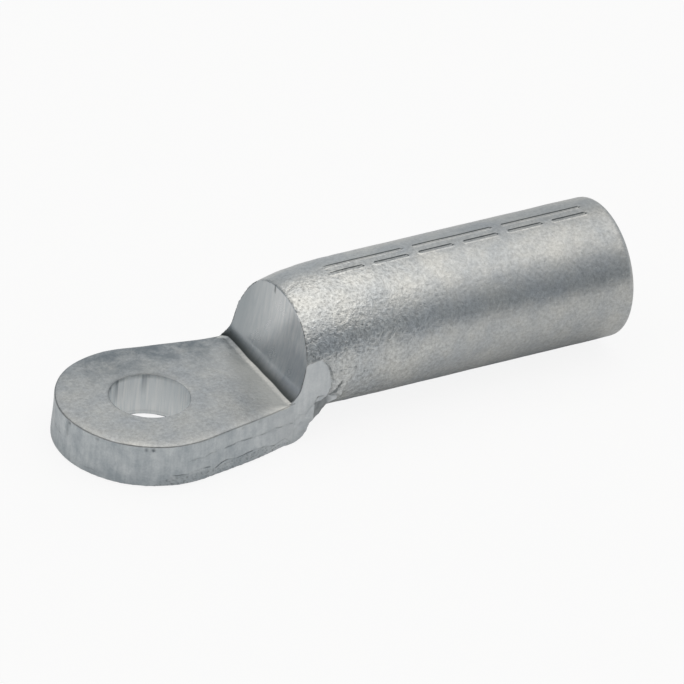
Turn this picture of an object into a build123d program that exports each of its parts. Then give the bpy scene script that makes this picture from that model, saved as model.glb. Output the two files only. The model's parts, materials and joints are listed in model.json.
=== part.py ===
from build123d import *
import os
from math import acos, asin, atan2, cos, degrees, hypot, radians, sin, tan

# Forged aluminium compression cable lug, one piece of metal. A bar with a
# blind bore has its solid end squeezed flat into a palm, the palm is trimmed
# to its outline by a punch, and the bolt hole is punched last.
# All sizes are in millimetres. The origin is the bolt hole's axis where it
# meets the palm's contact face. +X runs along the barrel to its open end.

# Barrel
barrel_diameter = 23.0
barrel_lift = 0.5  # from the contact face up to the barrel's lowest line
mouth_reach = 83.0  # from the bolt hole's axis to the open end
mouth_rounding = 1.0  # the outer edge of the open end
bore_diameter = 14.7
bore_depth = 52.0  # full diameter, from the open end to the floor cone
bore_floor_angle = 120.0  # of the cone at the bore's floor
bore_lead_in = 1.0  # the chamfer that guides the conductor in

# Nose, the solid stretch that the forging bends down toward the palm
nose_length = 14.5  # from the foot of the shoulder face to the straight barrel
nose_bend_radius = 50.0  # of the barrel's axis along the nose

# Palm
palm_thickness = 7.6
palm_tip_radius = 15.0
palm_tip_offset = 0.2  # the tip arc's centre lies this far ahead of the hole
palm_edge_roll = 0.8  # rounding that the trimming punch leaves on the upper edge
palm_edge_break = 0.3  # rounding of the lower edge
bolt_hole_diameter = 13.0
bolt_hole_rim = 0.3  # rounding where the punch enters
breakout_height = 0.9  # the torn cone where the punch comes out
breakout_spread = 0.25  # how much wider than the hole the cone ends, each side

# Shoulder, the steep die-formed face between the palm and the nose
shoulder_reach = 20.5  # from the bolt hole's axis to the foot of the face
shoulder_lean = 73.0  # of the face at its foot, degrees from the palm
shoulder_radius = 50.0  # hollow curve of the face up to the vertical
shoulder_fillet = 3.0  # between the palm and the face

# Cheeks, the flat sides that the trimming punch cuts beside the shoulder
cheek_depth = 0.25  # how deep the punch bites into the barrel's side
cheek_length = 3.7  # along the barrel from the foot of the shoulder face
cheek_runout_radius = 12.5  # of the punch where the cheek leaves the metal

# Heel, the slope from the palm's underside back up to the round barrel
heel_length = 0.7  # from the foot of the shoulder face to the heel's corner
heel_angle = 50.0  # of the slope, degrees from the contact face
heel_rounding = 1.5  # of the corner between the contact face and the slope

# Crimp marks, two rows of shallow slots along the barrel's crown
mark_pitch = 8.3  # one narrow crimp
mark_gap = 1.9  # plain metal between two marks of a row
mark_width = 0.6
mark_depth = 0.3  # below the barrel's highest line
mark_row_spacing = 2.1  # between the centre lines of the two rows
mark_end_distance = 4.1  # from the open end to the first mark
narrow_crimps = 6  # the number of marks in the near row
wide_crimps = 3  # the number of marks in the far row

tool_clearance = 5.0  # how far the cutting shapes reach past the metal

# Sizes worked out from the ones above
barrel_radius = barrel_diameter / 2
bore_radius = bore_diameter / 2
barrel_wall = barrel_radius - bore_radius
axis_height = barrel_radius + barrel_lift
crown_height = axis_height + barrel_radius
nose_start = shoulder_reach + nose_length
cheek_half = barrel_radius - cheek_depth
bolt_hole_radius = bolt_hole_diameter / 2

# The flank is the tangent from the neck corner to the tip arc.
neck_from_tip = hypot(shoulder_reach + palm_tip_offset, cheek_half)
neck_bearing = degrees(atan2(cheek_half, shoulder_reach + palm_tip_offset))
flank_bearing = radians(neck_bearing + degrees(acos(palm_tip_radius / neck_from_tip)))
flank_start = (
    palm_tip_radius * cos(flank_bearing) - palm_tip_offset,
    palm_tip_radius * sin(flank_bearing),
)
palm_tip = (-palm_tip_radius - palm_tip_offset, 0)
neck_corner = (shoulder_reach, cheek_half)


# Palm: the trimmed plate with its rolled edge and its punched hole
with BuildPart() as palm:
    with BuildSketch(Plane.XY):
        with BuildLine():
            RadiusArc(palm_tip, flank_start, palm_tip_radius)
            Line(flank_start, neck_corner)
            Line(neck_corner, (shoulder_reach, 0))
            mirror(about=Plane.XZ)
        make_face()
    extrude(amount=palm_thickness)
    outline_above = palm.faces().sort_by(Axis.Z)[-1].edges().sort_by(Axis.X)[:-1]
    fillet(outline_above, palm_edge_roll)
    outline_below = palm.faces().sort_by(Axis.Z)[0].edges().sort_by(Axis.X)[:-1]
    fillet(outline_below, palm_edge_break)
    Hole(bolt_hole_radius)
    hole_entry = palm.edges().filter_by(GeomType.CIRCLE).group_by(Axis.Z)[-1]
    fillet(hole_entry.sort_by(SortBy.RADIUS)[0], bolt_hole_rim)
    with Locations((0, 0, breakout_height / 2)):
        Cone(
            bolt_hole_radius + breakout_spread,
            bolt_hole_radius,
            breakout_height,
            mode=Mode.SUBTRACT,
        )

# Lug: barrel, nose and heel, trimmed and cut, then joined with the palm
with BuildPart() as cable_lug:
    # The round bar, straight along the barrel and bent down along the nose
    nose_sweep = degrees(asin(nose_length / (nose_bend_radius - barrel_radius)))
    with BuildLine(Plane.XZ) as bar_axis:
        nose_top = (nose_start, axis_height)
        Line((mouth_reach, axis_height), nose_top)
        JernArc(nose_top, (-1, 0), nose_bend_radius, nose_sweep)
    with BuildSketch(Plane.YZ.offset(mouth_reach)):
        with Locations((0, axis_height)):
            Circle(barrel_radius)
    sweep(path=bar_axis.wire())
    mouth_edge = cable_lug.edges().filter_by(GeomType.CIRCLE).sort_by(Axis.X)[-1]
    fillet(mouth_edge, min(mouth_rounding, barrel_wall / 3))

    # The heel, a block as wide as the cheeks whose back slopes up to the axis
    heel_corner = (shoulder_reach + heel_length, 0)
    heel_run = axis_height / tan(radians(heel_angle))
    heel_room = heel_length / tan(radians(heel_angle / 2))
    with BuildSketch(Plane.XZ) as heel_profile:
        with BuildLine():
            Polyline(
                (shoulder_reach - heel_length, 0),
                heel_corner,
                (heel_corner[0] + heel_run, axis_height),
                (shoulder_reach - heel_length, axis_height),
                close=True,
            )
        make_face()
        heel_vertex = heel_profile.vertices().sort_by_distance(heel_corner)[0]
        fillet(heel_vertex, min(heel_rounding, 0.99 * heel_room))
    extrude(amount=cheek_half, both=True)

    # The contact face cuts off what the bend brings below it
    split(bisect_by=Plane.XY, keep=Keep.TOP)

    # The trimming punch leaves the cheeks and runs out along the barrel
    with BuildSketch(Plane.XY):
        with BuildLine():
            cheek_end = (shoulder_reach + cheek_length, cheek_half)
            Line((0, 0), (0, cheek_half))
            Line((0, cheek_half), cheek_end)
            runout = JernArc(cheek_end, (1, 0), cheek_runout_radius, 90)
            past_mouth = mouth_reach + tool_clearance
            Line(runout @ 1, (past_mouth, (runout @ 1).Y))
            Line((past_mouth, (runout @ 1).Y), (past_mouth, 0))
            mirror(about=Plane.XZ)
        make_face()
    extrude(amount=crown_height + tool_clearance, mode=Mode.INTERSECT)

    # The shoulder face: a fillet at the palm, then a hollow curve to the vertical
    with BuildSketch(Plane.XZ) as shoulder_profile:
        with BuildLine():
            lean = radians(shoulder_lean)
            foot = (shoulder_reach, palm_thickness)
            face_top = crown_height + shoulder_radius
            face = JernArc(foot, (cos(lean), sin(lean)), shoulder_radius, 90 - shoulder_lean)
            Line(face @ 1, ((face @ 1).X, face_top))
            Line(((face @ 1).X, face_top), (palm_tip[0], face_top))
            Line((palm_tip[0], face_top), (palm_tip[0], palm_thickness))
            Line((palm_tip[0], palm_thickness), foot)
        make_face()
        fillet(shoulder_profile.vertices().sort_by_distance(foot)[0], shoulder_fillet)
    extrude(amount=barrel_radius + tool_clearance, both=True, mode=Mode.SUBTRACT)

    add(palm.part)

    # The blind bore, with its lead-in and its floor cone
    lead_in = min(bore_lead_in, barrel_wall / 3)
    floor_x = mouth_reach - bore_depth
    cone_length = bore_radius / tan(radians(bore_floor_angle / 2))
    with BuildSketch(Plane.XZ):
        with BuildLine():
            Polyline(
                (floor_x - cone_length, axis_height),
                (floor_x, axis_height + bore_radius),
                (mouth_reach - lead_in, axis_height + bore_radius),
                (mouth_reach, axis_height + bore_radius + lead_in),
                (mouth_reach, axis_height),
                close=True,
            )
        make_face()
    revolve(axis=Axis((0, 0, axis_height), (1, 0, 0)), mode=Mode.SUBTRACT)

    # The crimp marks: a row of narrow ones on the near side, and beyond it a row
    # of wide ones that are twice as long
    with BuildSketch(Plane.XY.offset(crown_height - mark_depth)):
        for crimps, length, side in (
            (narrow_crimps, mark_pitch, -1),
            (wide_crimps, 2 * mark_pitch, 1),
        ):
            row_end = mouth_reach - mark_end_distance + mark_gap / 2
            row_middle = row_end - crimps * length / 2
            with Locations((row_middle, side * mark_row_spacing / 2)):
                with GridLocations(length, 0, crimps, 1):
                    SlotOverall(length - mark_gap, mark_width)
    extrude(amount=mark_depth + tool_clearance, mode=Mode.SUBTRACT)

cable_lug.part.label = "cable_lug"

os.makedirs("parts", exist_ok=True)
export_step(cable_lug.part, "parts/cable_lug.step")
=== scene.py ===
import json
from math import acos, atan2, cos, hypot, pi, radians, sin

import bmesh
import bpy
import numpy as np
from mathutils import Matrix, Vector
from mathutils.kdtree import KDTree


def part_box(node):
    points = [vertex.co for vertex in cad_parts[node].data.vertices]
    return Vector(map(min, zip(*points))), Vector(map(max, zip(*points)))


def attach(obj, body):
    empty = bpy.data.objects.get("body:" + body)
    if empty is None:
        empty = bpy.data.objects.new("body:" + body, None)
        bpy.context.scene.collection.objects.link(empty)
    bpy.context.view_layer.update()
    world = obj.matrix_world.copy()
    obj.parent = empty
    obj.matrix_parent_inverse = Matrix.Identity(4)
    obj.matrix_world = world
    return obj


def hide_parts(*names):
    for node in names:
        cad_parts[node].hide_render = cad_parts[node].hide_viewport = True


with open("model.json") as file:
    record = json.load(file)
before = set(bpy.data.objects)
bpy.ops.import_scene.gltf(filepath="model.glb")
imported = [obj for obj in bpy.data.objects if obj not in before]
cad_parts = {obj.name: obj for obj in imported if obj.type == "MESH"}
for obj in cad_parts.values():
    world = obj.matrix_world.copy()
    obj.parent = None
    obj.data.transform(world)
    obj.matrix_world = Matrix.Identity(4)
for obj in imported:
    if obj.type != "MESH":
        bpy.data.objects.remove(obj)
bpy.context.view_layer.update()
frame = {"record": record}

# Round bar: the barrel and the nose that the forging bends down toward the palm.
# It is drawn aluminium rod, cut to length, drilled from the open end and tumbled
# in a drum of abrasive, which leaves it dull, faintly dented and soft at its edges.
# All of the lug's sizes are in millimetres until the finished mesh is scaled.
mounts = {m["name"]: m for m in frame["record"]["mounts"]}
lug_low, lug_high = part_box("cable_lug")
metre = 1000.0
axis_height = mounts["barrel_bore"]["pos_m"][2] * metre
crown_height = lug_high.z * metre
barrel_radius = crown_height - axis_height
mouth_reach = lug_high.x * metre
bore_radius = mounts["barrel_bore"]["dims"]["r_mm"]
lead_in_end = mounts["barrel_bore"]["pos_m"][0] * metre
bore_floor = lead_in_end - mounts["barrel_bore"]["dims"]["length_mm"]
mouth_rounding = 1.0
nose_start = 35.0
nose_bend_radius = 50.0
nose_turn = radians(22.5)
nose_cap_rows = 2
bore_point = 0.577  # how deep the drill's point of 120 degrees is, in radii
narrow_marks, wide_marks = 6, 3
mark_pitch = 8.3
mark_gap = 1.9
mark_width = 0.66
mark_depth = 0.21
mark_row_offset = 1.05
mark_row_end = mouth_reach - 4.1


def graded(start, stop, spacing):
    """Stations from start to stop. The number of steps up to a place is the
    integral of one over the spacing wanted there."""
    place = np.linspace(start, stop, 6001)
    middle = (place[1:] + place[:-1]) / 2
    count = np.concatenate([[0.0], np.cumsum(np.diff(place) / spacing(middle))])
    steps = int(np.ceil(count[-1]))
    return np.interp(np.linspace(0.0, count[-1], steps + 1), count, place)


def swell(points, wavelength, seed, waves=18):
    """Random relief with a spread of about one: the sum of plane sine waves of
    about one wavelength, whose directions and phases are drawn at random."""
    draw = np.random.default_rng(seed)
    direction = draw.normal(size=(waves, 3))
    direction /= np.linalg.norm(direction, axis=1)[:, None]
    rate = 2 * pi / wavelength * draw.uniform(0.7, 1.4, waves)
    phase = draw.uniform(0, 2 * pi, waves)
    return np.sin(points @ (direction * rate[:, None]).T + phase).sum(-1) * (2 / waves) ** 0.5


def step(low, high, value):
    """Smooth step from 0 at low to 1 at high, with 3t^2 - 2t^3 between them."""
    t = np.clip((value - low) / (high - low), 0, 1)
    return t * t * (3 - 2 * t)


def hump(value, middle, width):
    """Bell curve of height one: exp(-((value - middle) / width)^2)."""
    return np.exp(-(((value - middle) / width) ** 2))


def piece(name, points, faces):
    """New object with a closed mesh, its faces turned outwards."""
    mesh = bpy.data.meshes.new(name)
    mesh.from_pydata(points, [], faces)
    shell = bmesh.new()
    shell.from_mesh(mesh)
    bmesh.ops.recalc_face_normals(shell, faces=shell.faces)
    shell.to_mesh(mesh)
    shell.free()
    made = bpy.data.objects.new(name, mesh)
    bpy.context.scene.collection.objects.link(made)
    return made


def skin(name, grid, ring):
    """Closed mesh over a grid of points, rows by columns. The columns wrap round.
    The rows wrap round too on a ring, and otherwise each end row is capped."""
    rows, columns = grid.shape[:2]
    index = np.arange(rows * columns).reshape(rows, columns)
    beside = np.roll(index, -1, axis=1)
    if ring:
        quads = [index, beside, np.roll(beside, -1, axis=0), np.roll(index, -1, axis=0)]
        caps = []
    else:
        quads = [index[:-1], beside[:-1], beside[1:], index[1:]]
        caps = [index[0, ::-1].tolist(), index[-1].tolist()]
    return piece(name, grid.reshape(-1, 3), np.stack(quads, -1).reshape(-1, 4).tolist() + caps)


def along_bar(station, radius, turn):
    """Place on the bar. The axis runs straight along X from nose_start on, and
    before it bends down on a circle, where station counts the arc's length. The
    section is a circle of the given radius, and turn goes round it from the crown."""
    bend = np.maximum(nose_start - station, 0) / nose_bend_radius
    bent_x = nose_start - nose_bend_radius * np.sin(bend)
    axis_x = np.where(station < nose_start, bent_x, station)
    axis_z = axis_height - nose_bend_radius * (1 - np.cos(bend))
    up, aside = radius * np.cos(turn), radius * np.sin(turn)
    return np.stack([axis_x - up * np.sin(bend), aside, axis_z + up * np.cos(bend)], -1)


def column_spacing(arc):
    """Width of a column, where arc is the way round from the crown. It is narrow on
    the crown's marks, and grows by a fifth of the way from them."""
    away = np.maximum(np.abs(arc) - 1.6, 0)
    fine = np.where(np.abs(np.abs(arc) - mark_row_offset) < 0.5, 0.05, 0.13)
    return np.minimum(fine + 0.2 * away, np.where(arc < 0, 0.7, 1.4))


half_round = pi * barrel_radius
around = graded(-half_round, half_round, column_spacing)[:-1] / barrel_radius

mark_ends = mark_row_end - mark_pitch * np.arange(narrow_marks + 1) + mark_gap / 2


def row_spacing(station):
    """Length of a row along the bar. It is short where a mark ends, and grows by
    half of the way from there."""
    away = np.abs(station[:, None] - mark_ends).min(-1) - mark_gap / 2 - 0.45
    return np.clip(0.15 + 0.5 * away, 0.15, 0.62)


nose_end = nose_start - nose_bend_radius * nose_turn
outside = graded(nose_end, mouth_reach - mouth_rounding, row_spacing)
quarter = np.linspace(0, pi / 2, 7)[1:]
ring_out = barrel_radius - mouth_rounding
lead_in_radius = bore_radius + mouth_reach - lead_in_end
bore_rows = 26
to_point = np.linspace(0.1, 0.98, 5)

# The profile runs from the nose's end over the barrel, round the edge of the mouth
# and down the bore to the drill's point.
profile_station = np.concatenate([
    np.full(nose_cap_rows, nose_end),
    outside,
    mouth_reach - mouth_rounding + mouth_rounding * np.sin(quarter),
    np.full(3, mouth_reach),
    [mouth_reach - 0.15, lead_in_end + 0.15, lead_in_end - 0.1],
    np.linspace(lead_in_end - 1, bore_floor, bore_rows),
    bore_floor - to_point * bore_radius * bore_point,
])
profile_radius = np.concatenate([
    [0.4, barrel_radius * 0.6],
    np.full(len(outside), barrel_radius),
    ring_out + mouth_rounding * np.cos(quarter),
    np.linspace(ring_out - 0.4, lead_in_radius + 0.15, 3),
    [lead_in_radius - 0.1, bore_radius + 0.12, bore_radius],
    np.full(bore_rows, bore_radius),
    bore_radius * (1 - to_point),
])
station, turn = np.meshgrid(profile_station, around, indexing="ij")
radius = np.repeat(profile_radius[:, None], len(around), 1)
smooth_bar = along_bar(station, radius, turn)
row = np.arange(len(profile_station))
is_outside = (row >= nose_cap_rows) & (row < nose_cap_rows + len(outside) + len(quarter) - 1)

# Relief: the drum's dents, which are finer on the forged nose, a crown that sags
# beside the shoulder, and an underside that the bend hardly takes down.
bar_relief = 0.014 * swell(smooth_bar, 9, 1) + 0.004 * swell(smooth_bar, 2.6, 2)
forged = 1 - step(30, 46, smooth_bar[..., 0])
bar_relief += forged * (0.012 * swell(smooth_bar, 3.5, 3) + 0.006 * swell(smooth_bar, 1.5, 4))
sag = 0.3 + 0.35 * hump(smooth_bar[..., 1], 0.3, 4.5)
bar_relief -= sag * hump(smooth_bar[..., 0], 19.5, 4.5) * step(13, 17, smooth_bar[..., 2])
bend_drop = nose_bend_radius * (1 - np.cos(np.maximum(nose_start - station, 0) / nose_bend_radius))
bar_relief -= 0.85 * np.minimum(bend_drop, 1.4) * step(0, 0.9, -np.cos(turn))
bar_relief = np.where(is_outside[:, None], bar_relief, 0.15 * bar_relief)


# Crimp marks: pressed with a blunt tool that stops at one level, so that they fade
# out where the nose drops. At a distance d from its centre line, a mark's surface
# lies at the crown's height less depth * (1 - (d / half width)^6)^0.5. The tool
# throws up a low burr along the near side.
def marks(x, y):
    """For each mark, how far places lie from its centre line and how far across
    it, both in half widths, and how far past its straight stretch at the far end."""
    for count, length, side in ((narrow_marks, mark_pitch, -1), (wide_marks, 2 * mark_pitch, 1)):
        for mark in range(count):
            last = mark_row_end - length * mark - mark_width / 2
            first = mark_row_end - length * (mark + 1) + mark_gap + mark_width / 2
            across = (y - side * mark_row_offset) / (mark_width / 2)
            past = np.maximum(np.maximum(x - last, first - x), 0) / (mark_width / 2)
            yield np.hypot(past, across), across, x - last


tool_level = np.full_like(station, 99.0)
burr = np.zeros_like(station)
for off, across, beyond in marks(smooth_bar[..., 0], smooth_bar[..., 1]):
    depth = mark_depth * (1 + 0.2 * np.sign(smooth_bar[..., 1]))
    level = crown_height - depth * np.maximum(1 - off**6, 0) ** 0.5
    tool_level = np.minimum(tool_level, np.where(off < 1, level, 99))
    burr = np.maximum(burr, 0.07 * hump(off, 1.35, 0.35) * (across < 0))
on_crown = is_outside[:, None] & (np.abs(turn) < 0.3)
bar_relief += np.where(on_crown, burr, 0)
press = np.maximum(smooth_bar[..., 2] - tool_level, 0)
bar_relief = np.where(on_crown & (press > 0), np.minimum(bar_relief, 0.02) - press, bar_relief)
bar = skin("bar", along_bar(station, radius + bar_relief, turn), ring=False)

# Heel: the slope under the neck, from the palm's underside back to the round bar.
# The forging squeezes the metal here into the gap between the dies, so the slope
# is rough and its back edge wanders.
neck_reach = 20.5
cheek_half = 11.3
heel_back_x = np.array([20.5, 21.5, 22.2, 22.7, 23.0, 23.3, 24.1, 25.6, 27.1, 28.1, 29.2, 31.0])
heel_back_z = np.array([0.0, 0.45, 1.0, 1.65, 2.4, 3.1, 3.75, 4.55, 5.5, 6.6, 8.4, 12.0])
heel_z = np.linspace(0, 12, 40)
heel_x = np.interp(heel_z, heel_back_z, heel_back_x)

# The profile runs down inside the palm, along the underside, up the slope and back.
heel_profile = np.concatenate([
    np.stack([np.full(8, 19.2), np.linspace(12, 0, 8)], -1),
    np.stack([np.linspace(19.5, 20.3, 3), np.zeros(3)], -1),
    np.stack([heel_x, heel_z], -1),
    np.stack([np.linspace(28, 21, 4), np.full(4, 12.0)], -1),
])


def across_lug(profile, half_width, count):
    """Grid of the profile's X and Z, repeated at places along Y."""
    grid = np.zeros((count, len(profile), 3))
    grid[..., 0::2] = profile
    grid[..., 1] = np.linspace(-half_width, half_width, count)[:, None]
    return grid


heel_points = across_lug(heel_profile, 11.6, 70)
on_slope = (heel_points[..., 0] > 20.6) & (heel_points[..., 2] < 11.9)
heel_points[..., 0] += np.where(on_slope, 0.07 * swell(heel_points, 2.4, 5), 0)
heel = skin("heel", heel_points, ring=False)


# Cheeks: the flat sides beside the shoulder. The trimming punch shears them, then
# the metal tears away below, which leaves a rough, slightly sunken patch.
dimple_x, dimple_z, dimple_width = 24.4, 7.7, 0.2


def tongue(x, z):
    """How far a place on the cheek lies outside the sheared facet, which ends in a
    round tongue under the nose. Inside it the value is below zero."""
    right_z = [4, 6.7, 6.9, 7.3, 8.0, 9.2, 10.5, 12, 13.3, 14.4]
    right_x = [23.9, 24.0, 25.2, 25.9, 26.4, 26.75, 26.75, 26.45, 25.9, 24.9]
    right = np.interp(z, right_z, right_x)
    top = np.interp(x, [19, 22.1, 24.7], [13.2, 14.0, 14.35])
    return np.maximum(x - right, z - top)


def cheek_cutter(side, torn):
    """Block outside one cheek. Its inner face is the height y = h(x, z): the sheared
    facet, a shallow groove along the facet's border, the bar's own round beyond it,
    the bevel below its end and the torn patch."""
    x, z = np.meshgrid(np.linspace(14, 31, 120), np.linspace(-1.5, 17, 124), indexing="ij")
    flat = np.stack([x, np.full_like(x, 40.0 * side), z], -1)
    # The sheared facet, with a scored line and a dimple
    facet = cheek_half - 0.06 * np.maximum(z - 8, 0) + 0.012 * swell(flat, 3, 7)
    facet += 0.008 * swell(flat * [1, 1, 0.1], 0.8, 8)
    facet -= 0.04 * hump(tongue(x, z), -1.2, 0.12) * hump(z, 9.3, 1.3)
    facet -= 0.1 * hump(np.hypot(x - dimple_x, z - dimple_z), 0, dimple_width)
    # The torn patch below it
    line = np.interp(x, [19.0, 20.3, 22.3, 23.2, 24.4, 25.9], [4.0, 5.4, 5.4, 6.2, 7.6, 7.6])
    line = line + 0.15 * swell(flat, 1.3, 9)
    below = step(0, 0.3, line - z) * torn
    facet -= below * (0.12 + 0.04 * swell(flat, 1.4, 10) + 0.015 * swell(flat, 0.8, 11))
    # The bar beyond the facet's border, which a groove and a scar follow
    lift = np.hypot(x - nose_start, z - axis_height + nose_bend_radius) - nose_bend_radius
    round_bar = np.maximum(barrel_radius**2 - lift**2, 0.0) ** 0.5
    outside = tongue(x, z)
    groove = np.abs(x - np.interp(z, [7.3, 8.0, 10.0], [26.2, 27.3, 28.6]))
    scar = 0.12 * hump(groove, 0, 0.14) * step(7.3, 7.6, z) * step(10.2, 9.4, z)
    above = step(21.8, 22.4, x) * step(24.4, 24.0, x) * (z > 13)
    scar += 0.07 * hump(outside, 0.45, 0.1) * above
    beyond = round_bar + 0.5 * outside - 0.07
    beyond = np.minimum(beyond, np.where(scar > 0.01, round_bar - scar, 99))
    # The bevel below the facet's end, which runs out along the bar
    bevel = facet - 0.3 * np.maximum(x - 23.9, 0) - 0.06 + 0.9 * np.maximum(x - 26.7, 0)
    share = step(7.9, 6.9, z)
    lowest = np.minimum(bevel, beyond + 0.3 + 1.5 * np.maximum(6.5 - z, 0))
    beyond = beyond * (1 - share) + lowest * share
    height = np.where(outside > 0, beyond, facet)
    inner = np.stack([x, side * height, z], -1)
    outer = np.stack([x, np.full_like(x, side * 16.0), z], -1)
    return inner, outer


def block(name, inner, outer):
    """Closed block between two sheets of points on the same grid."""
    rows, columns = inner.shape[:2]
    index = np.arange(rows * columns).reshape(rows, columns)
    lift = rows * columns
    sheet = np.stack([index[:-1, :-1], index[1:, :-1], index[1:, 1:], index[:-1, 1:]], -1)
    sheet = sheet.reshape(-1, 4)
    border = np.concatenate([index[:, 0], index[-1, 1:], index[-2::-1, -1], index[0, -2:0:-1]])
    after = np.roll(border, -1)
    wall = np.stack([border, after, after + lift, border + lift], -1)
    faces = np.concatenate([sheet, sheet[:, ::-1] + lift, wall]).tolist()
    return piece(name, np.concatenate([inner.reshape(-1, 3), outer.reshape(-1, 3)]), faces)


near_cheek = block("near_cheek", *cheek_cutter(-1, 1.0))
far_cheek = block("far_cheek", *cheek_cutter(1, 0.6))

# Shoulder: the steep, slightly hollow face that the upper die strikes into the
# nose, with a wide fillet down to the palm. The die is worn, so the fillet starts
# in a low ramp and a crisp line that runs a little askew. The fillet is an arc that
# starts at the line and runs smoothly into the face's own arc.
palm_top = mounts["washer_face"]["pos_m"][2] * metre
face_lean = radians(73)
face_radius = 50.0
face_centre_x = neck_reach - face_radius * sin(face_lean)
face_centre_z = palm_top + face_radius * cos(face_lean)
face_from = radians(14.2)
ramp_start = 18.7
ramp_sink = 0.04
ramp = np.linspace(0, 1, 12)[:-1]
kink_slope = radians(43)
kink_z = palm_top + 0.24
joint_x = face_centre_x + face_radius * cos(face_from)
joint_z = face_centre_z - face_radius * sin(face_from)
fillet_radius = (joint_z - kink_z) / (cos(kink_slope) - sin(face_from))
fillet_slope = np.linspace(kink_slope, pi / 2 - face_from, 14)
fillet_x = joint_x - fillet_radius * (cos(face_from) - np.sin(fillet_slope))
fillet_z = joint_z + fillet_radius * (sin(face_from) - np.cos(fillet_slope))
face_turn = np.linspace(face_from, 0, 34)[1:]

# The die's profile runs above the palm, up the ramp, the fillet and the face, and
# back high over the lug.
shoulder_x = np.concatenate([
    [4.0, 10.0, 16.0, 17.6],
    ramp_start + ramp * (fillet_x[0] - ramp_start),
    fillet_x,
    face_centre_x + face_radius * np.cos(face_turn),
    np.full(6, face_centre_x + face_radius),
    [14.0, 4.0],
])
shoulder_z = np.concatenate([
    [palm_top - 1.5, palm_top - 1.5, palm_top - 1.5, palm_top - 1.0],
    palm_top - ramp_sink + (kink_z - palm_top + ramp_sink) * ramp**2.2,
    fillet_z,
    face_centre_z - face_radius * np.sin(face_turn),
    np.linspace(face_centre_z + 0.5, 27, 6),
    [27.0, 27.0],
])


def askew(y, z):
    """How far the worn die lies aside along X. At its foot it slants across the lug
    and bites in at the far end, and that fades upward in a bell curve."""
    return hump(z, palm_top, 1.3) * (0.042 * y - 1.6 * step(10.4, 11.7, y))


die_points = across_lug(np.stack([shoulder_x, shoulder_z], -1), 13.5, 90)
struck = (die_points[..., 0] > 18.0) & (die_points[..., 2] < 26)
wander = 0.04 * hump(die_points[..., 2], palm_top, 1.3) * swell(die_points, 6, 14)
aside = askew(die_points[..., 1], die_points[..., 2])
die_points[..., 0] += np.where(struck, aside + wander, 0)
die_points[..., 0] += np.where(struck, 0.02 * swell(die_points * [1, 1, 0.3], 4, 15), 0)
die = skin("die", die_points, ring=False)

# The flat lower die cuts off what the bend brings below the palm's underside.
anvil = np.array([[[14, -14, 0], [34, -14, 0]], [[14, 14, 0], [34, 14, 0]]], float)
anvil_cut = block("anvil_cut", anvil, anvil - [0, 0, 8])

# Palm: the plate that the forging flattens. A punch trims its outline, so the upper
# edge is rolled over, the wall is sheared and streaked, and near the lower edge the
# metal tears. The bolt hole is punched the same way, from above.
hole_radius = mounts["bolt_hole"]["dims"]["r_mm"]
breakout_height = mounts["bolt_hole"]["pos_m"][2] * metre
breakout_radius = hole_radius + 0.25
tip_radius = 15.0
tip_offset = tip_radius + lug_low.x * metre
neck_half = 11.25
neck_bearing = atan2(neck_half, neck_reach - tip_offset)
neck_distance = hypot(neck_half, neck_reach - tip_offset)
tip_turn = pi - neck_bearing - acos(tip_radius / neck_distance)
tip_arc = tip_radius * tip_turn
flank_start = np.array([tip_offset - tip_radius * cos(tip_turn), tip_radius * sin(tip_turn)])
flank = np.array([neck_reach, neck_half]) - flank_start
flank_length = hypot(*flank)
flank_direction = flank / flank_length
neck_place = tip_arc + flank_length
inner_end = np.array([neck_reach + 0.35, neck_half - 0.6])
end_place = neck_place + inner_end[1]


def outline(place):
    """Points and outward normals of the palm's outline. Place counts the length
    from the tip: an arc, the straight flank that is its tangent, and then the
    straight end inside the neck. It is above zero on the near side."""
    away = np.abs(place)
    turn = np.minimum(away / tip_radius, tip_turn)
    along = np.clip(away - tip_arc, 0, flank_length)
    x = tip_offset - tip_radius * np.cos(turn) + along * flank_direction[0]
    y = tip_radius * np.sin(turn) + along * flank_direction[1]
    inner = away > neck_place
    x = np.where(inner, inner_end[0], x)
    y = np.where(inner, inner_end[1] - (away - neck_place), y)
    normal_x = np.where(inner, 1.0, -np.cos(turn))
    normal_y = np.where(inner, 0.0, np.sin(turn))
    side = -np.sign(place)
    return np.stack([x, side * y], -1), np.stack([normal_x, side * normal_y], -1)


def outline_spacing(place):
    """Width of a column of the palm: narrow on the near side, where place is above
    zero, wider on the far side and widest on the hidden end."""
    fine = np.where(place > 0, 0.24, 0.55)
    return np.where(np.abs(place) > neck_place, 1.6, fine)


place = graded(-end_place, end_place, outline_spacing)[:-1] + 1e-6
edge_point, edge_normal = outline(place)
hole_way = edge_point / np.linalg.norm(edge_point, axis=1)[:, None]


def crack(place, z, points, width, jitter, seed):
    """How near a wall's place is to a torn line, from 0 to 1: a bell curve across
    the line that joins the points, which wanders by the jitter."""
    points = np.array(points)
    spot = np.stack([place, z * 0, z * 0], -1)
    line = np.interp(place, points[:, 0], points[:, 1]) + jitter * swell(spot, 1.7, seed)
    first, last = points[0, 0], points[-1, 0]
    ends = step(first, first + 0.5, place) * step(last, last - 0.5, place)
    open_share = 0.35 + 0.65 * step(-0.7, 0.5, swell(spot, 3.0, seed + 40))
    return hump(z, line, width) * ends * open_share


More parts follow.
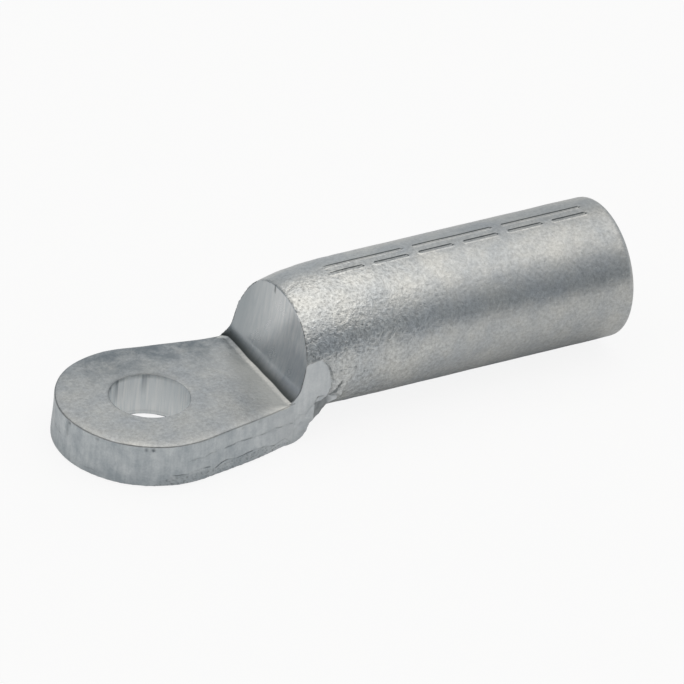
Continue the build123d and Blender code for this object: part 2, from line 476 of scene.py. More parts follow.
# Each tear has a weight, and the line that it follows, as place and height. Each
# nick of the upper edge has a place and a depth.
tears = (
    (0.8, ((19.9, 2.0), (22.1, 1.85), (23.6, 2.0), (24.9, 2.35), (27.2, 2.0))),
    (1.0, (
        (27.6, 1.3), (29.1, 1.9), (30.3, 2.15), (32.7, 1.75), (34.2, 2.0),
        (37.6, 1.85), (40.3, 1.3), (42.7, 1.55), (44.4, 0.4),
    )),
    (0.7, (
        (29.5, 4.3), (32.5, 4.55), (35.2, 4.3), (38.2, 4.1),
        (39.8, 4.3), (41.7, 4.2), (44.4, 4.0),
    )),
    (0.45, ((22.4, 4.15), (24.2, 4.25), (25.6, 4.2), (27.0, 4.45), (28.6, 4.4))),
    (0.7, ((-6.7, 5.15), (-3.9, 3.6), (-1.2, 3.6))),
    (0.4, ((5.0, 0.9), (6.5, 1.1), (9.4, 0.8))),
)
nicks = ((1.1, 0.2), (7.3, 0.12), (15.6, 0.14), (16.7, 0.2), (33.5, 0.1), (37.0, 0.1))


def torn_height(place):
    """Up to which height the metal of the near wall is torn rather than sheared."""
    at = [16, 20, 27, 28, 30, 34, 38, 40, 44]
    return np.interp(place, at, [0, 1.9, 1.9, 1.3, 2.1, 1.95, 1.8, 1.3, 0.7])


def wall_tears(place, z):
    """The tears' share of darkness and depth on the palm's wall, from 0 to 1."""
    found = np.zeros_like(z)
    for number, (weight, points) in enumerate(tears):
        found = np.maximum(found, weight * crack(place, z, points, 0.1, 0.04, 20 + number))
    return found


# The plate's rows run from the hole over the flat top, the roll, the wall and its
# foot, and back to the hole along the underside. Inset is how far a row lies inside
# the outline, and share how far it has come from the hole to the outline.
flat_rows, roll_rows, wall_rows, foot_rows, under_rows = 20, 12, 62, 2, 9
top_rows = flat_rows + roll_rows
low_rows = foot_rows + under_rows
roll_width = 2.6
roll_drop = 0.2
foot_break = 0.3
roll = np.linspace(0, 1, roll_rows + 1)
inset = np.concatenate([
    np.full(flat_rows, roll_width),
    roll_width * (1 - roll[1:-1]),
    [0.06],
    np.zeros(wall_rows),
    [0.08, foot_break],
    np.full(under_rows, foot_break),
])
share = np.concatenate([
    np.linspace(0, 1, flat_rows + 1)[:-1] ** 0.9,
    np.ones(roll_rows + wall_rows + foot_rows),
    np.linspace(1, 0, under_rows + 2)[1:-1],
])
to_neck = 1 - 0.95 * step(neck_place - 5, neck_place - 0.6, np.abs(place))
roll_here = roll_drop * to_neck
drop = np.concatenate([np.zeros(flat_rows), roll[1:-1] ** 2.6, [0.96], np.zeros(wall_rows + low_rows)])
rise = np.concatenate([np.zeros(top_rows), np.linspace(1, 0, wall_rows), np.zeros(low_rows)])
foot_z = np.concatenate([
    np.full(top_rows, palm_top),
    np.full(wall_rows, foot_break),
    [0.09],
    np.zeros(low_rows - 1),
])
height = foot_z[:, None] - drop[:, None] * roll_here
height = height + rise[:, None] * (palm_top - 0.36 - roll_here)
rim_rounding = 0.14
rim = np.concatenate([
    np.full(len(share) - under_rows, hole_radius + rim_rounding),
    np.full(under_rows, breakout_radius),
])
hole_rows = 10
rim_turn = np.linspace(0.35, 1.25, 4)
hole_r = np.concatenate([
    [breakout_radius, hole_radius, hole_radius + 0.08],
    np.full(hole_rows, hole_radius),
    hole_radius + rim_rounding * (1 - np.cos(rim_turn)),
])
hole_z = np.concatenate([
    [0.0, 0.35, breakout_height - 0.1],
    np.linspace(breakout_height + 0.1, palm_top - rim_rounding, hole_rows),
    palm_top - rim_rounding + rim_rounding * np.sin(rim_turn),
])
edge = edge_point[None] - (inset[:, None] * to_neck)[..., None] * edge_normal[None]
plate = rim[:, None, None] * hole_way[None] * (1 - share[:, None, None])
plate = plate + edge * share[:, None, None]
plate = np.concatenate([plate, height[..., None]], -1)
hole = hole_r[:, None, None] * hole_way[None]
hole = np.concatenate([hole, np.repeat(hole_z[:, None, None], len(place), 1)], -1)

# Relief of the wall: it flares out below, the punch leaves upright streaks, and the
# metal tears toward the foot and along a second, shallower line above it.
at, up = place + 0 * height, height
near_wall = (step(0.5, 0.98, share) * step(0.9, 0.1, inset))[:, None]
foot = 0.15 + 0.3 * hump(at, 35, 7) + 0.2 * hump(at, -35, 7)
flare = foot * step(4.5, 0.5, up) * step(neck_place, neck_place - 5, np.abs(at))
wall_relief = flare + 0.02 * swell(plate, 7, 30) + 0.006 * swell(plate * [1, 1, 0.12], 0.9, 31)
torn_foot = step(0, 0.3, torn_height(at) - up)
ragged = 0.08 + 0.03 * swell(plate, 1.8, 32) + 0.008 * swell(plate, 0.9, 35)
wall_relief -= torn_foot * step(0.1, 0.7, up) * ragged
wall_relief -= 0.14 * wall_tears(at, up)
second_line = np.interp(at, [22.4, 28.6, 32.5, 38.2, 44.4], [4.15, 4.4, 4.55, 4.1, 4.0])
second_cut = step(0, 0.15, second_line - up)
wall_relief -= 0.08 * second_cut * step(30, 42, at)
for spot, size in nicks:
    wall_relief -= size * hump(at, spot, 0.3) * hump(up, palm_top - 0.75, 0.3)
plate[..., :2] += (wall_relief * near_wall)[..., None] * edge_normal[None]
on_top = (np.arange(len(height)) < top_rows) & (share > 0.05)
plate[..., 2] += np.where(on_top[:, None], 0.012 * swell(plate, 5, 33), 0)
hole[..., :2] *= 1 + 0.002 * swell(hole * [1, 1, 0.1], 1.5, 34)[..., None]
palm = skin("palm", np.concatenate([plate, hole]), ring=True)


# The pieces are one metal: they are joined and cut in the order of the work.
def cut_or_join(body, tool, operation):
    """The body with the tool joined to it or cut from it. The tool is used up."""
    boolean = body.modifiers.new("cut", "BOOLEAN")
    boolean.operation, boolean.object, boolean.solver = operation, tool, "MANIFOLD"
    bpy.context.view_layer.update()
    cut_body = body.evaluated_get(bpy.context.evaluated_depsgraph_get())
    made = bpy.data.meshes.new_from_object(cut_body)
    body.modifiers.clear()
    body.data = made
    bpy.data.objects.remove(tool)


cut_or_join(bar, heel, "UNION")
cut_or_join(bar, near_cheek, "DIFFERENCE")
cut_or_join(bar, far_cheek, "DIFFERENCE")
cut_or_join(bar, die, "DIFFERENCE")
cut_or_join(bar, anvil_cut, "DIFFERENCE")
cut_or_join(bar, palm, "UNION")

neck_end = 30.0
sharp_turn = radians(28)
lug_mesh = bar.data
shell = bmesh.new()
shell.from_mesh(lug_mesh)
bmesh.ops.dissolve_degenerate(shell, dist=0.01, edges=shell.edges)
bmesh.ops.triangulate(shell, faces=[f for f in shell.faces if len(f.verts) > 4])


def is_sharp(edge):
    """Whether an edge turns sharply, and isn't a mark's or within the die's face."""
    middle = (edge.verts[0].co + edge.verts[1].co) / 2
    on_mark = middle.z > 21.9 and abs(middle.y) < 2.2 and middle.x > neck_end
    rise = hypot(middle.y, middle.z - axis_height)
    in_face = rise < barrel_radius - 1.2 and middle.z > palm_top + 0.5 and middle.x < 23
    apart = len(edge.link_faces) == 2 and edge.calc_face_angle() > sharp_turn
    return apart and not on_mark and not in_face


# Round its sharp edges the mesh is divided, so that they can wear: finely on the
# near side, and only where it is coarse on the far side and at the foot.
sharp = [e for e in shell.edges if is_sharp(e) and e.verts[0].co.x < neck_end]
touched = {f for e in sharp for v in e.verts for f in v.link_faces}
long_edges = {e for f in touched for e in f.edges if e.calc_length() > 0.12}
near_side = [e for e in long_edges if e.verts[0].co.y < -1 and e.verts[0].co.z > 0.1]
far_side = [e for e in long_edges.difference(near_side) if e.calc_length() > 0.35]
bmesh.ops.subdivide_edges(shell, edges=near_side, cuts=2, use_grid_fill=True)
bmesh.ops.subdivide_edges(shell, edges=far_side, cuts=1, use_grid_fill=True)
bmesh.ops.triangulate(shell, faces=[f for f in shell.faces if len(f.verts) > 4])
shell.verts.ensure_lookup_table()
shell.verts.index_update()
edge_points = [v.index for v in {v for e in shell.edges if is_sharp(e) for v in e.verts}]
shell.to_mesh(lug_mesh)
shell.free()


# Tumbling wears every sharp edge round: points near one move toward the mean of
# their neighbours, again and again, and the further from the edge, the less.


def read(items, field, width, kind=float):
    """One field of all the items, as an array with a row for each item."""
    values = np.zeros(len(items) * width, kind)
    items.foreach_get(field, values)
    return values.reshape(-1, width)


def wear_edges(mesh, sharp_points, spread, rounds):
    """Rounds the edges that the sharp points lie on."""
    points = read(mesh.vertices, "co", 3)
    ends = read(mesh.edges, "vertices", 2, int)
    count = len(points)
    weight = np.zeros(count)
    weight[sharp_points] = 1
    neighbours = np.bincount(ends.ravel(), minlength=count)

    def mean_of(values):
        """Mean over each point's neighbours."""
        total = np.bincount(ends[:, 0], values[ends[:, 1]], count)
        total += np.bincount(ends[:, 1], values[ends[:, 0]], count)
        return total / neighbours

    for _ in range(spread):
        weight = np.maximum(weight, 0.8 * mean_of(weight))
    for _ in range(rounds):
        mean = np.stack([mean_of(points[:, axis]) for axis in range(3)], -1)
        points += 0.5 * weight[:, None] * (mean - points)
    mesh.vertices.foreach_set("co", points.ravel())
    mesh.update()


edge_tree = KDTree(len(edge_points))
for number in edge_points:
    edge_tree.insert(lug_mesh.vertices[number].co, number)
edge_tree.balance()
no_edge = 9.0
edge_distance = np.array([
    edge_tree.find(v.co)[2] if v.co.x < neck_end else no_edge for v in lug_mesh.vertices
])
wear_edges(lug_mesh, edge_points, spread=2, rounds=4)

# Finish by zone: which stretches are tumbled, struck by the die, or sheared.
struck_rows = slice(4 + len(ramp), -2)
finishes = range(5)
TUMBLED, STRUCK, SHEARED, DRILLED, BURNISHED_AND_LIT = finishes
x, y, z = read(lug_mesh.polygons, "center", 3).T
normal = read(lug_mesh.polygons, "normal", 3)


def from_die(x, y, z):
    """How far a place lies behind the die's face, along X."""
    face = np.interp(z, shoulder_z[struck_rows], shoulder_x[struck_rows])
    return x - face - askew(y, z)


gap = np.abs(from_die(x, y, z))
is_struck = (gap < 0.06) | (gap < 0.3) & (normal[:, 0] < -0.45)
is_struck &= (z > kink_z) & (np.abs(y) < cheek_half)
is_cheek = (np.abs(normal[:, 1]) > 0.95) & (np.abs(y) > 10.6) & (x > 19) & (tongue(x, z) < 0)
is_wall = (np.abs(normal[:, 2]) < 0.75) & (x < 28) & (z < palm_top - 0.35) & (z > 0.02)
is_bore = (np.hypot(y, z - axis_height) < bore_radius + 0.05) & (x > 25) & (x < lead_in_end)
is_hole = (np.hypot(x, y) < hole_radius + 0.1) & (np.abs(normal[:, 2]) < 0.5)
zone = np.where(is_bore, DRILLED, TUMBLED)
zone = np.where(is_cheek | is_wall, SHEARED, zone)
zone = np.where(is_struck, STRUCK, zone)
zone = np.where(is_hole, BURNISHED_AND_LIT, zone)
lug_mesh.materials.clear()
for _ in finishes:
    lug_mesh.materials.append(None)
lug_mesh.polygons.foreach_set("material_index", zone)
lug_mesh.polygons.foreach_set("use_smooth", np.ones(len(zone), bool))

# Dark lines: oxide and drum dust stay in the creases, the tears and the nicks.
x, y, z = read(lug_mesh.vertices, "co", 3).T

# The place along the palm's outline is counted as outline() does.
angle = np.arctan2(np.abs(y), tip_offset - x)
along = (np.stack([x, np.abs(y)], -1) - flank_start) @ flank_direction
place = -np.sign(y) * np.where(along > 0, tip_arc + along, tip_radius * angle)

# Painted shade, drawn dark where shade falls: a line along the worn edges, a notch's
# shadow line down the face, the die's fillet, the bevel and dimple of the near cheek,
# and the crimp marks' far walls
edge_shade = hump(edge_distance, 0, 0.11) * (z > 6.5) * (x < 27) * np.where(z > 8, 0.8, 0.5)
edge_shade = np.where((np.abs(y) > 10.5) & (x > 21.9), 0.4 * edge_shade, edge_shade)
face_notch_shadow = 0.7 * hump(y, 1.4, 0.13) * step(20.3, 20.8, z) * (x < 23)
edge_shade = np.maximum(edge_shade, face_notch_shadow)
on_die = step(0.25, 0.1, np.abs(from_die(x, y, z))) * (z > palm_top + 0.2) * (np.abs(y) < 11.2)
# Painted shade in the hollow of the die's fillet
fillet_shade = on_die * 0.95 * step(10.0, 7.8, z) ** 1.3
# Painted shade on the bevel, which faces down toward the shade under the bar
bevel_shade = 0.6 * step(23.85, 24.05, x) * step(27.5, 26.5, x) * step(7.1, 6.6, z) * step(8.5, 9.5, -y)
# Painted shade in the dimple's hollow
dimple = 0.7 * hump(np.hypot(x - dimple_x, z - dimple_z), 0, dimple_width) * (y < -10)
edge_shade = np.maximum.reduce([edge_shade, bevel_shade, dimple])
# Painted shade on the marks' far walls and end walls, which face away from the light
mark_wall_shade = np.zeros_like(z)
for off, across, beyond in marks(x, y):
    far_wall = step(0.55, 0.8, across) * step(1.2, 1.02, off)
    end_wall = step(0.05, 0.15, beyond) * step(0.4, 0.7, off) * step(1.2, 1.0, off)
    mark_wall_shade = np.maximum(mark_wall_shade, np.maximum(far_wall, end_wall) * (z > crown_height - 0.7))

# The bolt hole's rims, with painted shade inside the upper rim on its far side, and the
# tears and nicks of the palm's near wall, which are drawn darker
radius = np.hypot(x, y)
rim_shade = hump(radius, hole_radius + 0.06, 0.1) * (z > palm_top - 0.3) * step(-3, 3, y - 0.5 * x)
at_breakout = hump(z, breakout_height, 0.09) * (radius < hole_radius + 0.2)
near = (place > -9) & (z < palm_top - 0.25) & (radius > 9) & (x < neck_reach)
specks = step(0.5, 1.6, swell(np.stack([x, y, 1.5 * z], -1), 0.6, 40))
torn = step(0, 0.3, torn_height(place) - z) * (0.1 + 0.45 * specks)
torn = np.maximum(0.75 * wall_tears(place, z), torn)
torn = np.maximum(torn, 0.3 * hump(place, 0.7, 0.3) * step(3.9, 4.7, z))
for spot, size in nicks:
    torn = np.maximum(torn, 3 * size * hump(place, spot, 0.35) * hump(z, palm_top - 0.8, 0.25))
torn = np.where(near, torn, 0)
# One attribute holds the painted shade and the darker tears
dirt = np.maximum.reduce([edge_shade, fillet_shade, 1.1 * mark_wall_shade, 0.6 * rim_shade, 0.4 * at_breakout, torn])
lug_mesh.attributes.new("dirt", "FLOAT", "POINT").data.foreach_set("value", dirt)
lug_mesh.transform(Matrix.Scale(1 / metre, 4))

lug = bar
lug.name = "lug_metal"
lug_mesh.name = "lug_metal"


def linear(hex_colour):
    """Linear colour of an sRGB hex value."""
    part = [int(hex_colour[i:i + 2], 16) / 255 for i in (1, 3, 5)]
    return [c / 12.92 if c <= 0.04045 else ((c + 0.055) / 1.055) ** 2.4 for c in part] + [1.0]


def node(tree, kind, inputs=None, **settings):
    """Adds one node: its settings, then each input's value, or the socket or node
    that is linked to it. A node gives its first output. Only sockets in use count,
    and an input goes by its name or, where names repeat, by its number."""
    made = tree.nodes.new("ShaderNode" + kind)
    for key, value in settings.items():
        setattr(made, key, value)
    sockets = [socket for socket in made.inputs if socket.enabled]
    names = [socket.name for socket in sockets]
    for key, value in (inputs or {}).items():
        socket = sockets[key if isinstance(key, int) else names.index(key)]
        if isinstance(value, bpy.types.Node):
            value = next(output for output in value.outputs if output.enabled)
        if isinstance(value, bpy.types.NodeSocket):
            tree.links.new(value, socket)
        else:
            socket.default_value = value
    return made


def new_material(name):
    """An empty material with the object's own coordinates, in metres."""
    material = bpy.data.materials.new(name)
    material.use_nodes = True
    material.node_tree.nodes.clear()
    tree = material.node_tree
    return material, tree, node(tree, "TexCoord").outputs["Object"]


def per_mm(size):
    """Texture scale that gives a pattern of this size in millimetres. The real grain
    and streaks are too fine to show, so they are drawn 0.35 to 0.7 mm wide."""
    return metre / size


def mix_shade_and_tears(tree, clean, dark):
    """The clean colour, mixed toward a dark one where the dirt attribute
    says so: painted shade in creases and hollows, and the darker tears.
    """
    dirt = node(tree, "Attribute", attribute_name="dirt")
    share = node(tree, "Math", {0: dirt.outputs["Fac"], 1: 0.85}, operation="MULTIPLY")
    return node(tree, "Mix", {"Factor": share, "A": clean, "B": linear(dark)}, data_type="RGBA")


# Tumbled bare aluminium: dull grey with a thin oxide. The drum leaves shallow dimples
# that glitter under a light, faint clouds, fine curved scratches and a few pits. The
# dimples are coarse on the forged nose, where the metal had been upset.
def tumbled():
    material, tree, place = new_material("tumbled_bare_aluminium")
    x, y, z = node(tree, "SeparateXYZ", {"Vector": place}).outputs
    # The dimples are fine on the palm and coarse on the nose, and they fade toward
    # the mouth and beyond the crest.
    before = node(tree, "MapRange", {"Value": x, "From Min": 0.0212, "From Max": 0.0208})
    low = node(tree, "MapRange", {"Value": z, "From Min": 0.0082, "From Max": 0.0078})
    on_palm = node(tree, "Math", {0: before, 1: low}, operation="MULTIPLY")
    coarse = node(tree, "MapRange", {
        "Value": x, "From Min": 0.03, "From Max": 0.052, "To Min": 1.5, "To Max": 0.35,
    })
    crest = node(tree, "MapRange", {
        "Value": y, "From Min": -0.0012, "From Max": 0.0016, "To Min": 1.0, "To Max": 0.3,
    })
    coarse = node(tree, "Math", {0: coarse, 1: crest}, operation="MULTIPLY")
    coarse = node(tree, "Mix", {"Factor": on_palm, "A": coarse, "B": 0.35})
    # Patterns: clouds, dimples, grain, scratches and pits
    cloud = node(tree, "TexNoise", {"Vector": place, "Scale": per_mm(6), "Detail": 4.0, "Roughness": 0.6})
    dimple = node(tree, "TexNoise", {"Vector": place, "Scale": per_mm(0.6), "Roughness": 0.6})
    grain = node(tree, "TexNoise", {
        "Vector": place, "Scale": per_mm(0.6), "Detail": 4.0, "Roughness": 0.8,
    })
    line = node(tree, "TexNoise", {"Vector": place, "Scale": per_mm(5), "Detail": 1.5, "Distortion": 1.2})
    off = node(tree, "Math", {0: line, 1: 0.5}, operation="SUBTRACT")
    off = node(tree, "Math", {0: off}, operation="ABSOLUTE")
    scratch = node(tree, "MapRange", {"Value": off, "From Min": 0.005, "From Max": 0.0})
    few = node(tree, "TexNoise", {"Vector": place, "Scale": per_mm(3.1), "Detail": 0.0})
    few = node(tree, "MapRange", {"Value": few, "From Min": 0.58, "From Max": 0.66})
    scratch = node(tree, "Math", {0: scratch, 1: few}, operation="MULTIPLY")
    cell = node(tree, "TexVoronoi", {"Vector": place, "Scale": per_mm(2.2)})
    pit = node(tree, "MapRange", {"Value": cell, "From Min": 0.1, "From Max": 0.04})
    # Colour: clouds, bright and dark flecks, and dark pits on the nose
    tone = node(tree, "MapRange", {"Value": cloud, "From Min": 0.35, "From Max": 0.65})
    colour = node(tree, "Mix", {
        "Factor": tone, "A": linear("#bcc0c3"), "B": linear("#cccdcb"),
    }, data_type="RGBA")
    fleck = node(tree, "MapRange", {
        "Value": grain, "From Min": 0.3, "From Max": 0.7, "To Min": -0.5, "To Max": 0.5,
    })
    amount = node(tree, "MapRange", {"Value": coarse, "From Max": 1.5, "To Min": 0.3, "To Max": 0.95})
    along = node(tree, "MapRange", {
        "Value": x, "From Min": 0.026, "From Max": 0.075, "To Min": 1.1, "To Max": 0.9,
    })
    along = node(tree, "Mix", {"Factor": on_palm, "A": along, "B": 1.0})
    spread = node(tree, "Math", {0: fleck, 1: amount, 2: along}, operation="MULTIPLY_ADD")
    colour = node(tree, "Mix", {
        "Factor": 1.0, "A": colour, "B": spread,
    }, data_type="RGBA", blend_type="MULTIPLY")
    dark_pit = node(tree, "MapRange", {"Value": coarse, "From Min": 0.6, "From Max": 1.3, "To Max": 0.6})
    dark_pit = node(tree, "Math", {0: dark_pit, 1: pit}, operation="MULTIPLY")
    colour = node(tree, "Mix", {"Factor": dark_pit, "A": colour, "B": linear("#4f565a")}, data_type="RGBA")
    # The palm's far side is dulled by a haze, and its ramp at the neck is painted lighter: a
    # painted highlight, on metal that is rubbed bright there.
    far = node(tree, "MapRange", {"Value": y, "From Min": 0.002, "From Max": 0.0105})
    tip = node(tree, "MapRange", {
        "Value": x, "From Min": -0.013, "From Max": -0.003, "To Min": 0.15, "To Max": 1.0,
    })
    far = node(tree, "Math", {0: far, 1: tip}, operation="MULTIPLY")
    haze = node(tree, "TexNoise", {
        "Vector": place, "Scale": per_mm(4), "Detail": 5.0, "Roughness": 0.75, "Distortion": 0.2,
    })
    haze = node(tree, "MapRange", {
        "Value": haze, "From Min": 0.4, "From Max": 0.6, "To Min": 0.25, "To Max": 0.85,
    })
    haze = node(tree, "Math", {0: haze, 1: on_palm}, operation="MULTIPLY")
    haze = node(tree, "Math", {0: haze, 1: far}, operation="MULTIPLY")
    colour = node(tree, "Mix", {"Factor": haze, "A": colour, "B": linear("#7d868d")}, data_type="RGBA")
    up_ramp = node(tree, "MapRange", {"Value": x, "From Min": 0.013, "From Max": 0.018, "To Max": 0.75})
    rubbed_and_highlight = node(tree, "Math", {0: up_ramp, 1: on_palm}, operation="MULTIPLY")
    middle = node(tree, "MapRange", {
        "Value": y, "From Min": 0.001, "From Max": 0.008, "To Min": 1.0, "To Max": 0.05,
    })
    rubbed_and_highlight = node(tree, "Math", {0: rubbed_and_highlight, 1: middle}, operation="MULTIPLY")
    colour = node(tree, "Mix", {"Factor": rubbed_and_highlight, "A": colour, "B": linear("#e8e7e2")}, data_type="RGBA")
    colour = mix_shade_and_tears(tree, colour, "#384045")
    # Gloss and relief
    rough = node(tree, "MapRange", {
        "Value": cloud, "From Min": 0.3, "From Max": 0.7, "To Min": 0.39, "To Max": 0.31,
    })
    dimple_height = node(tree, "Math", {0: dimple, 1: coarse}, operation="MULTIPLY")
    height = node(tree, "Math", {0: grain, 1: 0.12, 2: dimple_height}, operation="MULTIPLY_ADD")
    height = node(tree, "Math", {0: pit, 1: -0.25, 2: height}, operation="MULTIPLY_ADD")
    height = node(tree, "Math", {0: scratch, 1: -0.12, 2: height}, operation="MULTIPLY_ADD")
    bump = node(tree, "Bump", {"Distance": 0.00009, "Height": height})
    metal = node(tree, "BsdfPrincipled", {
        "Metallic": 1.0, "Base Color": colour, "Roughness": rough, "Normal": bump,
    })
    node(tree, "OutputMaterial", {"Surface": metal})
    return material


# Die-struck aluminium: satin, with fine streaks where the metal slid down the die.
def struck_face():
    material, tree, place = new_material("die_struck_aluminium")
    flow = node(tree, "Mapping", {"Vector": place, "Scale": (1, 1, 0.1)})
    streak = node(tree, "TexNoise", {
        "Vector": flow, "Scale": per_mm(0.6), "Detail": 3.0, "Roughness": 0.6,
    })
    cloud = node(tree, "TexNoise", {"Vector": place, "Scale": per_mm(5), "Detail": 3.0})
    bright = node(tree, "MapRange", {"Value": streak, "From Min": 0.3, "From Max": 0.7})
    colour = node(tree, "Mix", {
        "Factor": bright, "A": linear("#dfe4e7"), "B": linear("#fcfcfc"),
    }, data_type="RGBA")
    _, y, z = node(tree, "SeparateXYZ", {"Vector": place}).outputs
    # Painted shadow: the face is drawn darker toward its far side
    aside = node(tree, "MapRange", {"Value": y, "From Min": -0.007, "From Max": 0.009, "To Max": 0.85})
    colour = node(tree, "Mix", {"Factor": aside, "A": colour, "B": linear("#a1a9ae")}, data_type="RGBA")
    # Painted reflection: the lower near part of the face is drawn darker in patches, where the dark below
    # mirrors in it
    patchy = node(tree, "Math", {0: cloud, 1: 0.008, 2: z}, operation="MULTIPLY_ADD")
    dark_reflection = node(tree, "MapRange", {
        "Value": patchy, "From Min": 0.0197, "From Max": 0.0162, "To Max": 0.42,
    })
    toward = node(tree, "MapRange", {"Value": y, "From Min": -0.0025, "From Max": -0.0065})
    dark_reflection = node(tree, "Math", {0: dark_reflection, 1: toward}, operation="MULTIPLY")
    colour = node(tree, "Mix", {"Factor": dark_reflection, "A": colour, "B": linear("#8e98a3")}, data_type="RGBA")
    colour = mix_shade_and_tears(tree, colour, "#3c4340")
    rough = node(tree, "MapRange", {
        "Value": cloud, "From Min": 0.3, "From Max": 0.7, "To Min": 0.34, "To Max": 0.26,
    })
    bump = node(tree, "Bump", {"Distance": 0.00001, "Height": streak})
    dirt = node(tree, "Attribute", attribute_name="dirt")
    rough = node(tree, "Math", {0: dirt.outputs["Fac"], 1: 0.6, 2: rough}, operation="MULTIPLY_ADD")
    metal = node(tree, "BsdfPrincipled", {
        "Metallic": 1.0, "Base Color": colour, "Roughness": rough, "Normal": bump,
    })
    node(tree, "OutputMaterial", {"Surface": metal})
    return material


# Sheared aluminium: the punch drags fine upright streaks down the cut metal, and the
# torn lines below are drawn darker.
def sheared():
    material, tree, place = new_material("sheared_aluminium")
    drag = node(tree, "Mapping", {"Vector": place, "Scale": (1, 1, 0.08)})
    streak = node(tree, "TexNoise", {
        "Vector": drag, "Scale": per_mm(0.7), "Detail": 3.0, "Roughness": 0.6,
    })
    cloud = node(tree, "TexNoise", {"Vector": place, "Scale": per_mm(3), "Detail": 4.0, "Roughness": 0.6})
    grain = node(tree, "TexNoise", {"Vector": place, "Scale": per_mm(0.35)})
    mottle = node(tree, "Math", {0: grain, 1: 0.35, 2: cloud}, operation="MULTIPLY_ADD")
    mottle = node(tree, "Math", {0: streak, 1: 0.5, 2: mottle}, operation="MULTIPLY_ADD")
    bright = node(tree, "MapRange", {"Value": mottle, "From Min": 0.71, "From Max": 1.15})
    colour = node(tree, "Mix", {
        "Factor": bright, "A": linear("#adb5bb"), "B": linear("#d2d7da"),
    }, data_type="RGBA")
    x = node(tree, "SeparateXYZ", {"Vector": place}).outputs["X"]
    # Painted light: the sheared metal is drawn lighter toward the neck, where the cheek's facet catches
    # more light
    to_neck = node(tree, "MapRange", {"Value": x, "From Min": 0.006, "From Max": 0.02, "To Max": 0.35})
    colour = node(tree, "Mix", {"Factor": to_neck, "A": colour, "B": linear("#eceef0")}, data_type="RGBA")
    colour = mix_shade_and_tears(tree, colour, "#3f464a")
    height = node(tree, "Math", {0: grain, 1: 0.35, 2: streak}, operation="MULTIPLY_ADD")
    bump = node(tree, "Bump", {"Distance": 0.00003, "Height": height})
    metal = node(tree, "BsdfPrincipled", {
        "Metallic": 1.0, "Base Color": colour, "Roughness": 0.4, "Normal": bump,
    })
    node(tree, "OutputMaterial", {"Surface": metal})
    return material


# Drilled aluminium: the bore, with the drill's fine rings round its wall.
def drilled():
    material, tree, place = new_material("drilled_aluminium")
    rings = node(tree, "Mapping", {"Vector": place, "Scale": (1, 0.04, 0.04)})
    feed = node(tree, "TexNoise", {"Vector": rings, "Scale": per_mm(0.45)})
    colour = node(tree, "Mix", {
        "Factor": feed, "A": linear("#a8abac"), "B": linear("#cfd0cf"),
    }, data_type="RGBA")
    bump = node(tree, "Bump", {"Distance": 0.00003, "Height": feed})
    metal = node(tree, "BsdfPrincipled", {
        "Metallic": 1.0, "Base Color": colour, "Roughness": 0.32, "Normal": bump,
    })
    node(tree, "OutputMaterial", {"Surface": metal})
    return material


# Burnished aluminium: the wall of the bolt hole, rubbed bright by the punch and given a
# pale colour that also paints in the light falling into the hole, with upright streaks
# and a few dull ones that reach down from the rim.
def burnished_and_lit():
    material, tree, place = new_material("burnished_aluminium")
    drag = node(tree, "Mapping", {"Vector": place, "Scale": (1, 1, 0.06)})
    streak = node(tree, "TexNoise", {
        "Vector": drag, "Scale": per_mm(0.5), "Detail": 3.0, "Roughness": 0.65,
    })
    dull = node(tree, "TexNoise", {"Vector": drag, "Scale": per_mm(1.6)})
    dull = node(tree, "MapRange", {"Value": dull, "From Min": 0.5, "From Max": 0.62})
    z = node(tree, "SeparateXYZ", {"Vector": place}).outputs["Z"]
    near_rim = node(tree, "MapRange", {"Value": z, "From Min": 0.0035, "From Max": 0.0072, "To Max": 0.6})
    dull = node(tree, "Math", {0: dull, 1: near_rim}, operation="MULTIPLY")
    bright = node(tree, "MapRange", {"Value": streak, "From Min": 0.3, "From Max": 0.7})
    colour = node(tree, "Mix", {
        "Factor": bright, "A": linear("#e6ebee"), "B": linear("#fcfdfd"),
    }, data_type="RGBA")
    colour = node(tree, "Mix", {"Factor": dull, "A": colour, "B": linear("#848e98")}, data_type="RGBA")
    colour = mix_shade_and_tears(tree, colour, "#3f464a")
    bump = node(tree, "Bump", {"Distance": 0.00003, "Height": streak})
    metal = node(tree, "BsdfPrincipled", {
        "Metallic": 1.0, "Base Color": colour, "Roughness": 0.55, "Normal": bump,
    })
    node(tree, "OutputMaterial", {"Surface": metal})
    return material


for number, finish in enumerate((tumbled, struck_face, sheared, drilled, burnished_and_lit)):
    lug_mesh.materials[number] = finish()
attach(lug, "root")
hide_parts("cable_lug")

# Floor: a plain pale sheet. The camera sees it near white, and it keeps the shadow.
floor_mesh = bpy.data.meshes.new("floor")
reach, drop = 4.0, -0.00005
corners = [(-reach, -reach, drop), (reach, -reach, drop), (reach, reach, drop), (-reach, reach, drop)]
floor_mesh.from_pydata(corners, [], [(0, 1, 2, 3)])
floor = bpy.data.objects.new("floor", floor_mesh)
bpy.context.scene.collection.objects.link(floor)
paper, tree, place = new_material("white_paper")
fibre = node(tree, "TexNoise", {"Vector": place, "Scale": per_mm(11.1)})
pale = node(tree, "Mix", {
    "Factor": fibre, "A": linear("#f2f2f2"), "B": linear("#f6f6f6"),
}, data_type="RGBA")
matte = node(tree, "BsdfDiffuse", {"Color": pale})
glow = node(tree, "Emission", {"Strength": 1.0})
ray = node(tree, "LightPath")
seen = node(tree, "Math", {0: ray.outputs["Is Camera Ray"], 1: 0.88}, operation="MULTIPLY")
mirrored = node(tree, "Math", {
    0: ray.outputs["Is Glossy Ray"], 1: 0.05, 2: seen,
}, operation="MULTIPLY_ADD")
sheet = node(tree, "MixShader", {0: mirrored, 1: matte, 2: glow})
node(tree, "OutputMaterial", {"Surface": sheet})
floor_mesh.materials.append(paper)

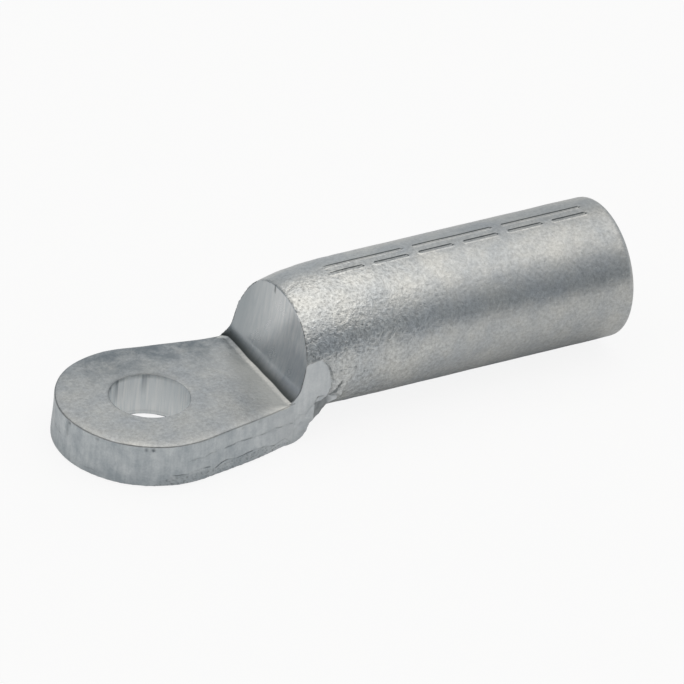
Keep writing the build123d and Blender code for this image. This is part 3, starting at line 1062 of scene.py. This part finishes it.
# Light: one large soft lamp overhead and a dim room round it, darker at eye level.
lamp_data = bpy.data.lights.new("overhead_softbox", "AREA")
lamp_data.shape = "DISK"
lamp_data.size = 2.0
lamp_data.energy = 4.8
lamp_data.color = linear("#fffaf2")[:3]
lamp = bpy.data.objects.new("overhead_softbox", lamp_data)
lamp.location = (0.1, 0.0, 1.3)
bpy.context.scene.collection.objects.link(lamp)

world = bpy.data.worlds.new("room")
world.use_nodes = True
tree = world.node_tree
tree.nodes.clear()
way = node(tree, "TexCoord").outputs["Generated"]
x, y, z = node(tree, "SeparateXYZ", {"Vector": way}).outputs
sideways = node(tree, "Math", {0: x, 1: 2.7, 2: y}, operation="MULTIPLY_ADD")
bright = node(tree, "MapRange", {"Value": sideways, "From Min": -0.7, "From Max": 2.1})
behind = node(tree, "Math", {0: y, 1: x}, operation="SUBTRACT")
behind = node(tree, "MapRange", {"Value": behind, "From Min": 0.6, "From Max": 1.2, "To Max": 0.45})
bright = node(tree, "Math", {0: bright, 1: behind}, operation="MAXIMUM")
eye_level = node(tree, "Mix", {
    "Factor": bright, "A": linear("#414e59"), "B": linear("#c4c8cb"),
}, data_type="RGBA")
lift = node(tree, "MapRange", {"Value": z, "From Min": 0.33, "From Max": 0.8})
room = node(tree, "Mix", {"Factor": lift, "A": eye_level, "B": linear("#dcdbd9")}, data_type="RGBA")
dim = node(tree, "Background", {"Color": room, "Strength": 1.0})
node(tree, "OutputWorld", {"Surface": dim})
bpy.context.scene.world = world

# Camera: a long lens two metres away, at the photograph's angle. Its place and turn
# come from the fit to the outline. The fit's camera looks along +Z with Y downward,
# and turn_axis is its axis, with the turn in radians as its length.
camera_place = Vector((-0.89543, -1.44723, 1.05115))
camera_data = bpy.data.cameras.new("camera")
camera_data.sensor_width = 36.0
camera_data.lens = 662.7
camera = bpy.data.objects.new("camera", camera_data)
turn_axis = Vector((2.07743191, -0.51414321, 0.389459478))
to_camera = Matrix.Rotation(turn_axis.length, 3, turn_axis.normalized())
from_camera = (Matrix.Diagonal((1, -1, -1)) @ to_camera).transposed()
camera.matrix_world = Matrix.Translation(camera_place) @ from_camera.to_4x4()
bpy.context.scene.collection.objects.link(camera)
bpy.context.scene.camera = camera

bpy.context.scene.view_settings.view_transform = "Standard"
